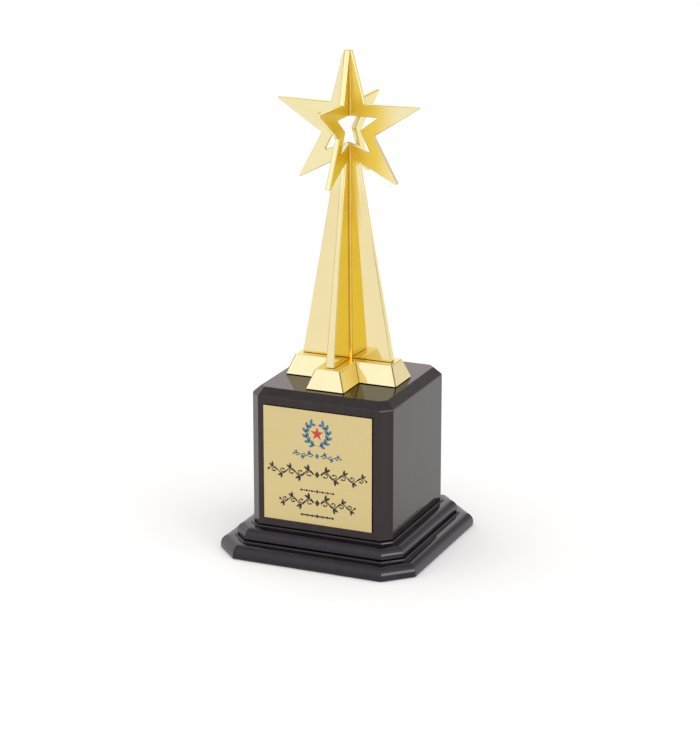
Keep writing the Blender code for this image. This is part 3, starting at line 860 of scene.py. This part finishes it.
def core_fillet(name, sx, sy, levels):
    """Concave strip in the corner where the two plates cross; levels are (height, radius)."""
    steps = 8
    verts = []
    for z, radius in levels:
        half = 0.5 * plate_thickness(z)
        centre = half + radius
        for k in range(steps + 1):
            angle = 0.5 * math.pi * k / steps
            x = centre - radius * math.cos(angle)
            y = centre - radius * math.sin(angle)
            verts.append((sx * x, sy * y, z))
        deep = half - CORE_BURY
        verts.append((sx * centre, sy * deep, z))
        verts.append((sx * deep, sy * deep, z))
        verts.append((sx * deep, sy * centre, z))
    count = steps + 4
    faces = []
    for level in range(len(levels) - 1):
        for k in range(count):
            m = (k + 1) % count
            a = level * count
            faces.append([a + k, a + m, a + count + m, a + count + k])
    faces.append(list(range(count))[::-1])
    top = (len(levels) - 1) * count
    faces.append([top + k for k in range(count)])
    if sx * sy > 0:
        faces = [f[::-1] for f in faces]
    obj = finished(name, verts, faces)
    obj.data.set_sharp_from_angle(angle=SMOOTH_BELOW)
    return obj


def plus_plan(inset):
    length, arm = FOOT_LEN - inset, FOOT_ARM - inset
    points = [
        (length, -arm), (length, arm), (arm, arm), (arm, length), (-arm, length), (-arm, arm),
        (-length, arm), (-length, -arm), (-arm, -arm), (-arm, -length), (arm, -length), (arm, -arm),
    ]
    # Every third corner is an inside one.
    return rounded_loop(points, [FOOT_CORNER_R, FOOT_CORNER_R, FOOT_INNER_R] * 4, 4)


def build_figure():
    wide = plate_body("star_and_fins_wide", 1.0, 0.0, True)
    dress(wide, WIDE_PLATE, "gold_plate", "star_plate_wide")
    cross = plate_body("star_and_fins_cross", CROSS_SCALE, CROSS_DROP, False)
    dress(cross, CROSS_PLATE, "gold_plate", "star_plate_cross")
    signs = [(sx, sy) for sx in (-1.0, 1.0) for sy in (-1.0, 1.0)]
    for number, (sx, sy) in enumerate(signs, 1):
        for part, levels in (("lower", CORE_LOWER), ("upper", CORE_UPPER)):
            strip = core_fillet("core_fillet_%s_%d" % (part, number), sx, sy, levels)
            dress(strip, CORE, "gold_plate")
    low, top = FOOT_LOW.z, FOOT_HIGH.z
    rows = [
        (UNDER_RUN, low, 0.0), (0.0, low, UNDER_R),
        (FOOT_SLOPE_IN, top, FOOT_TOP_R), (FOOT_SLOPE_IN + FOOT_TOP_RUN, top, 0.0),
    ]
    foot = body_mesh("cross_foot", [plus_plan], rounded_profile(rows), upright, upright)
    dress(foot, FOOT, "gold_plate", "figure_foot")


# ---------------------------------------------------------------- plaque
def rectangle_plan(half_w, low_z, high_z, corner):
    def plan(inset):
        points = [
            (-half_w + inset, low_z + inset), (half_w - inset, low_z + inset),
            (half_w - inset, high_z - inset), (-half_w + inset, high_z - inset),
        ]
        return rounded_loop(points, [max(corner - inset, PLAQUE_LEAST_R)] * 4, 3)
    return plan


def facing_front(a, b, h):
    return (a, PLAQUE_HIGH.y - h, b)


def facing_normal(a, b, h):
    return (a, -h, b)


def build_plaque():
    thick = PLAQUE_HIGH.y - PLAQUE_LOW.y
    rows = [
        (PLAQUE_BACK_RUN, 0.0, 0.0), (0.0, 0.0, PLAQUE_BACK_R),
        (0.0, thick, PLAQUE_EDGE_R), (PLAQUE_FACE_RUN, thick, 0.0),
    ]
    plate = body_mesh(
        "plaque_sheet",
        [rectangle_plan(PLAQUE_HIGH.x, PLAQUE_LOW.z, PLAQUE_HIGH.z, PLAQUE_EDGE_R)],
        rounded_profile(rows), facing_front, facing_normal,
    )
    dress(plate, PLAQUE, "plaque_gold", "name_plaque")


# ---------------------------------------------------------------- plaque ornament
def leaf(x, z, angle, length, width):
    """Pointed leaf that starts at (x, z) and runs along the angle."""
    along = Vector((math.cos(angle), math.sin(angle)))
    side = Vector((-along.y, along.x))
    start = Vector((x, z))
    steps = 7
    right = []
    left = []
    for k in range(steps + 1):
        t = k / steps
        middle = start + along * (length * t)
        half = 0.5 * width * math.sin(math.pi * t) ** 0.8 if 0 < k < steps else 0.0
        right.append(middle - side * half)
        if 0 < k < steps:
            left.append(middle + side * half)
    return [tuple(p) for p in right + left[::-1]]


def ribbon(path, widths):
    """Outline of a stroke along a path of points, with a width at each."""
    right = []
    left = []
    for i, here in enumerate(path):
        along = Vector(path[min(i + 1, len(path) - 1)]) - Vector(path[max(i - 1, 0)])
        side = Vector((-along.y, along.x)).normalized() * (0.5 * widths[i])
        right.append(tuple(Vector(here) - side))
        left.append(tuple(Vector(here) + side))
    return right + left[::-1]


def disc(x, z, radius, sides=12):
    turns = [2.0 * math.pi * k / sides for k in range(sides)]
    return [(x + radius * math.cos(t), z + radius * math.sin(t)) for t in turns]


def diamond(x, z, half_w, half_h):
    return [(x, z - half_h), (x + half_w, z), (x, z + half_h), (x - half_w, z)]


def mirrored(outline):
    return [(-x, z) for x, z in reversed(outline)]


def inlay(name, outlines, material):
    """Thin raised prints on the plaque's face, one closed body for each outline."""
    front = PLAQUE_LOW.y
    verts = []
    faces = []
    for outline in outlines:
        base = len(verts)
        count = len(outline)
        for depth in (INK_BURY, -INK_T):
            verts.extend((x, front + depth, z) for x, z in outline)
        for i in range(count):
            j = (i + 1) % count
            faces.append([base + i, base + j, base + count + j, base + count + i])
        for tri in cap_triangles([outline]):
            faces.append([base + i for i in reversed(tri)])
            faces.append([base + count + i for i in tri])
    obj = finished(name, verts, faces)
    obj.data.set_sharp_from_angle(angle=INK_SMOOTH_BELOW)
    dress(obj, material, "plaque_gold")


def wreath(x, z, radius, leaves):
    """Two leafy branches, open at the top."""
    outlines = []
    stem = []
    for k in range(leaves * 3 + 1):
        turn = math.radians(-84.0 + 140.0 * k / (leaves * 3))
        stem.append((radius * math.cos(turn), radius * math.sin(turn)))
    right = [ribbon(stem, [0.6 * MM] * len(stem))]
    for k in range(leaves):
        turn = math.radians(-74.0 + 128.0 * k / (leaves - 1))
        at = (radius * math.cos(turn), radius * math.sin(turn))
        for lean in (0.66, -0.66):
            right.append(leaf(*at, turn + 0.5 * math.pi - lean, 0.50 * radius, 0.25 * radius))
    for outline in right + [mirrored(o) for o in right]:
        outlines.append([(x + u, z + w) for u, w in outline])
    return outlines


def five_star(x, z, radius):
    points = []
    for k in range(10):
        turn = 0.5 * math.pi + math.pi * k / 5.0
        size = radius if k % 2 == 0 else 0.40 * radius
        points.append((x + size * math.cos(turn), z + size * math.sin(turn)))
    return points


def vine(z, half_w, rise, bends, leaf_len, leaf_w):
    """Wavy stem with a curl in each bend and leaves outside it, mirrored about a diamond."""
    start = 2.4 * MM
    span = half_w - start
    steps = 14 * bends

    def stem_at(t):
        fade = 1.0 - 0.25 * t
        return (start + span * t, z + rise * fade * math.sin(math.pi * bends * t))

    stem_w = 0.30 * leaf_w + 0.35 * MM
    path = [stem_at(k / steps) for k in range(steps + 1)]
    right = [ribbon(path, [stem_w * (1.0 - 0.4 * k / steps) for k in range(steps + 1)])]
    for k in range(bends):
        t = (k + 0.5) / bends
        way = 1.0 if k % 2 == 0 else -1.0
        size = 1.0 - 0.25 * t
        at = stem_at(t)
        for lean in (0.55, 1.35):
            right.append(leaf(*at, way * lean, leaf_len * size, leaf_w * size))
        root = stem_at((k + 0.12) / bends)
        curl_r = 0.42 * span / bends * size
        turns = 14
        curl = []
        for m in range(turns + 1):
            angle = way * (0.5 * math.pi - 1.75 * math.pi * m / turns)
            radius = curl_r * (1.0 - 0.62 * m / turns)
            curl.append((
                root[0] + curl_r * 0.9 + radius * math.cos(angle + way * 0.5 * math.pi),
                z - way * 0.18 * rise + 0.85 * radius * math.sin(angle + way * 0.5 * math.pi),
            ))
        right.append(ribbon(curl, [0.72 * stem_w] * len(curl)))
        right.append(disc(*curl[-1], 0.75 * stem_w))
    right.append(disc(*stem_at(1.0), 0.9 * stem_w))
    return right + [mirrored(o) for o in right] + [diamond(0.0, z, 2.0 * stem_w, 2.7 * stem_w)]


def bead_row(z, half_w, count, size):
    """Diamonds and dots in turn."""
    outlines = [diamond(0.0, z, 1.2 * size, 1.2 * size)]
    for k in range(1, count + 1):
        x = half_w * k / count
        for side in (-1.0, 1.0):
            if k % 2:
                outlines.append(disc(side * x, z, 0.55 * size))
            else:
                outlines.append(diamond(side * x, z, 1.25 * size, 0.8 * size))
    return outlines


def build_ornament():
    inlay("plaque_wreath", wreath(0.0, 84.4 * MM, 7.6 * MM, 6), INK_BLUE)
    inlay("plaque_emblem_star", [five_star(0.0, 84.7 * MM, 4.6 * MM)], INK_RED)
    # Height, half width, rise, bends, leaf length and leaf width.
    small = vine(70.0 * MM, 16.2 * MM, 1.1 * MM, 3, 2.6 * MM, 1.2 * MM)
    upper = vine(57.8 * MM, 33.4 * MM, 2.4 * MM, 5, 4.2 * MM, 1.7 * MM)
    lower = vine(39.0 * MM, 25.6 * MM, 2.4 * MM, 4, 4.2 * MM, 1.7 * MM)
    inlay("plaque_divider", small, INK_BLUE)
    inlay("plaque_vine_upper", upper, INK_DARK)
    inlay("plaque_beads_upper", bead_row(46.6 * MM, 10.8 * MM, 6, 1.0 * MM), INK_DARK)
    inlay("plaque_vine_lower", lower, INK_DARK)
    inlay("plaque_beads_lower", bead_row(30.2 * MM, 10.4 * MM, 6, 1.15 * MM), INK_DARK)


# ---------------------------------------------------------------- assembly
build_base()
build_figure()
build_plaque()
build_ornament()

# The CAD nodes that stay as they are get their materials here.
for name, material in (
    ("plaque_adhesive", FILM), ("foot_insert", BRASS), ("tie_rod", STEEL), ("flat_washer", STEEL),
    ("spring_washer", STEEL), ("hex_nut", STEEL), ("wood_screw_1", STEEL), ("wood_screw_2", STEEL),
    ("wood_screw_3", STEEL), ("wood_screw_4", STEEL), ("base_pad", FELT),
):
    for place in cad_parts[name].material_slots:
        place.material = material


# ---------------------------------------------------------------- studio
# The camera, fitted to the photograph; angles in degrees, lens and sensor in millimetres.
VIEW_AZIMUTH = 23.3
VIEW_PITCH = 17.13
VIEW_DISTANCE = 1.640
VIEW_HEIGHT = 107.85 * MM
VIEW_SHIFT = 1.0 * MM
LENS = 123.14
SENSOR = 36.0
FLOOR_HALF = 12.0
# Strength of the surroundings at the horizon and from ROOM_TOP, the height's share of 1, upwards.
ROOM_LOW = 1.10
ROOM_HIGH = 1.25
ROOM_TOP = 0.25
# Azimuth, elevation, inner and outer half angle in degrees, and added light.
PANELS = (
    (66.7, 10.0, 11.0, 16.0, 4.0),
    (156.0, 28.0, 8.0, 30.0, -0.70),
    (0.0, 90.0, 20.0, 45.0, -0.45),
)
WHITE = (1.0, 1.0, 1.0, 1.0)
WARM_BACK = (1.0, 0.935, 0.92, 1.0)
BACK_FROM = (0.1, 0.6)
# Gold reflector card on the floor in front: distance from the axis at each end, width and colour.
CARD_NEAR = 0.37
CARD_FAR = 1.06
CARD_WIDTH = 0.36
CARD_COLOUR = (1.17, 1.05, 0.33)
CEILING = 1.6
CEILING_SIZE = 2.4
CEILING_GLOW = 0.215
CARD_HEIGHT = 1.0 * MM


def card_material(name, colour):
    mat, tree, shader = new_material(name)
    speck = noise(tree, coords(tree), 30.0)
    dim = tuple(0.97 * part for part in colour)
    tree.links.new(ramp_colour(tree, speck, dim, colour), shader.inputs["Emission Color"])
    shader.inputs["Emission Strength"].default_value = 1.0
    shader.inputs["Base Color"].default_value = (0.0, 0.0, 0.0, 1.0)
    shader.inputs["Specular IOR Level"].default_value = 0.0
    return mat


def heading(azimuth, elevation):
    """Unit vector; azimuth runs from the front (-Y) towards +X, elevation up, both in degrees."""
    a, e = math.radians(azimuth), math.radians(elevation)
    return Vector((math.sin(a) * math.cos(e), -math.cos(a) * math.cos(e), math.sin(e)))


def panel(tree, direction, azimuth, elevation, inner, outer, gain):
    """Soft round patch of light (or of shade, if gain is negative) in the studio's surroundings."""
    dot = tree.nodes.new("ShaderNodeVectorMath")
    dot.operation = "DOT_PRODUCT"
    dot.inputs[1].default_value = heading(azimuth, elevation)
    tree.links.new(direction, dot.inputs[0])
    edge = math.cos(math.radians(outer)), math.cos(math.radians(inner))
    return remap(tree, dot.outputs["Value"], 0.0, gain, *edge)


def build_studio():
    half = FLOOR_HALF
    verts = [(-half, -half, 0.0), (half, -half, 0.0), (half, half, 0.0), (-half, half, 0.0)]
    floor = finished("studio_floor", verts, [[0, 1, 2, 3]])
    floor.data.materials.append(floor_material())

    world = bpy.data.worlds.new("studio_light")
    bpy.context.scene.world = world
    world.use_nodes = True
    tree = world.node_tree
    source = tree.nodes.new("ShaderNodeTexCoord")
    direction = source.outputs["Generated"]
    parts = tree.nodes.new("ShaderNodeSeparateXYZ")
    tree.links.new(direction, parts.inputs["Vector"])
    light = remap(tree, parts.outputs["Z"], ROOM_LOW, ROOM_HIGH, 0.0, ROOM_TOP)
    for azimuth, elevation, inner, outer, gain in PANELS:
        patch = panel(tree, direction, azimuth, elevation, inner, outer, gain)
        light = math_node(tree, "ADD", light, patch)
    background = tree.nodes["Background"]
    behind = remap(tree, parts.outputs["Y"], 0.0, 1.0, *BACK_FROM)
    tint = mixed(tree, behind, WHITE, WARM_BACK)
    tree.links.new(tint, background.inputs["Color"])
    tree.links.new(light, background.inputs["Strength"])

    # The gold reflector is seen only in the polished surfaces.
    ahead = heading(VIEW_AZIMUTH, 0.0)
    beside = Vector((-ahead.y, ahead.x, 0.0)) * (0.5 * CARD_WIDTH)
    corners = [
        ahead * CARD_NEAR - beside, ahead * CARD_NEAR + beside,
        ahead * CARD_FAR + beside, ahead * CARD_FAR - beside,
    ]
    card = finished("gold_reflector", [(c.x, c.y, CARD_HEIGHT) for c in corners], [[0, 3, 2, 1]])
    card.data.materials.append(card_material("gold_reflector", CARD_COLOUR))
    for kind in ("camera", "diffuse", "shadow", "transmission", "volume_scatter"):
        setattr(card, "visible_" + kind, False)

    # Soft light from above for the floor, not mirrored in the gold or the lacquer.
    data = bpy.data.lights.new("ceiling_softbox", "AREA")
    data.shape = "SQUARE"
    data.size = CEILING_SIZE
    data.energy = CEILING_GLOW * math.pi * CEILING_SIZE ** 2
    lamp = bpy.data.objects.new("ceiling_softbox", data)
    bpy.context.scene.collection.objects.link(lamp)
    lamp.location = (0.0, 0.0, CEILING)
    lamp.visible_camera = False
    lamp.visible_glossy = False


def build_camera():
    back = heading(VIEW_AZIMUTH, VIEW_PITCH)
    azimuth = math.radians(VIEW_AZIMUTH)
    right = Vector((math.cos(azimuth), math.sin(azimuth), 0.0))
    aim = Vector((0.0, 0.0, VIEW_HEIGHT)) + right * VIEW_SHIFT
    data = bpy.data.cameras.new("studio_camera")
    data.sensor_width = SENSOR
    data.lens = LENS
    camera = bpy.data.objects.new("studio_camera", data)
    bpy.context.scene.collection.objects.link(camera)
    camera.location = aim + back * VIEW_DISTANCE
    camera.rotation_mode = "QUATERNION"
    camera.rotation_quaternion = (-back).to_track_quat("-Z", "Y")
    bpy.context.scene.camera = camera


build_studio()
build_camera()
bpy.context.scene.view_settings.view_transform = "Standard"
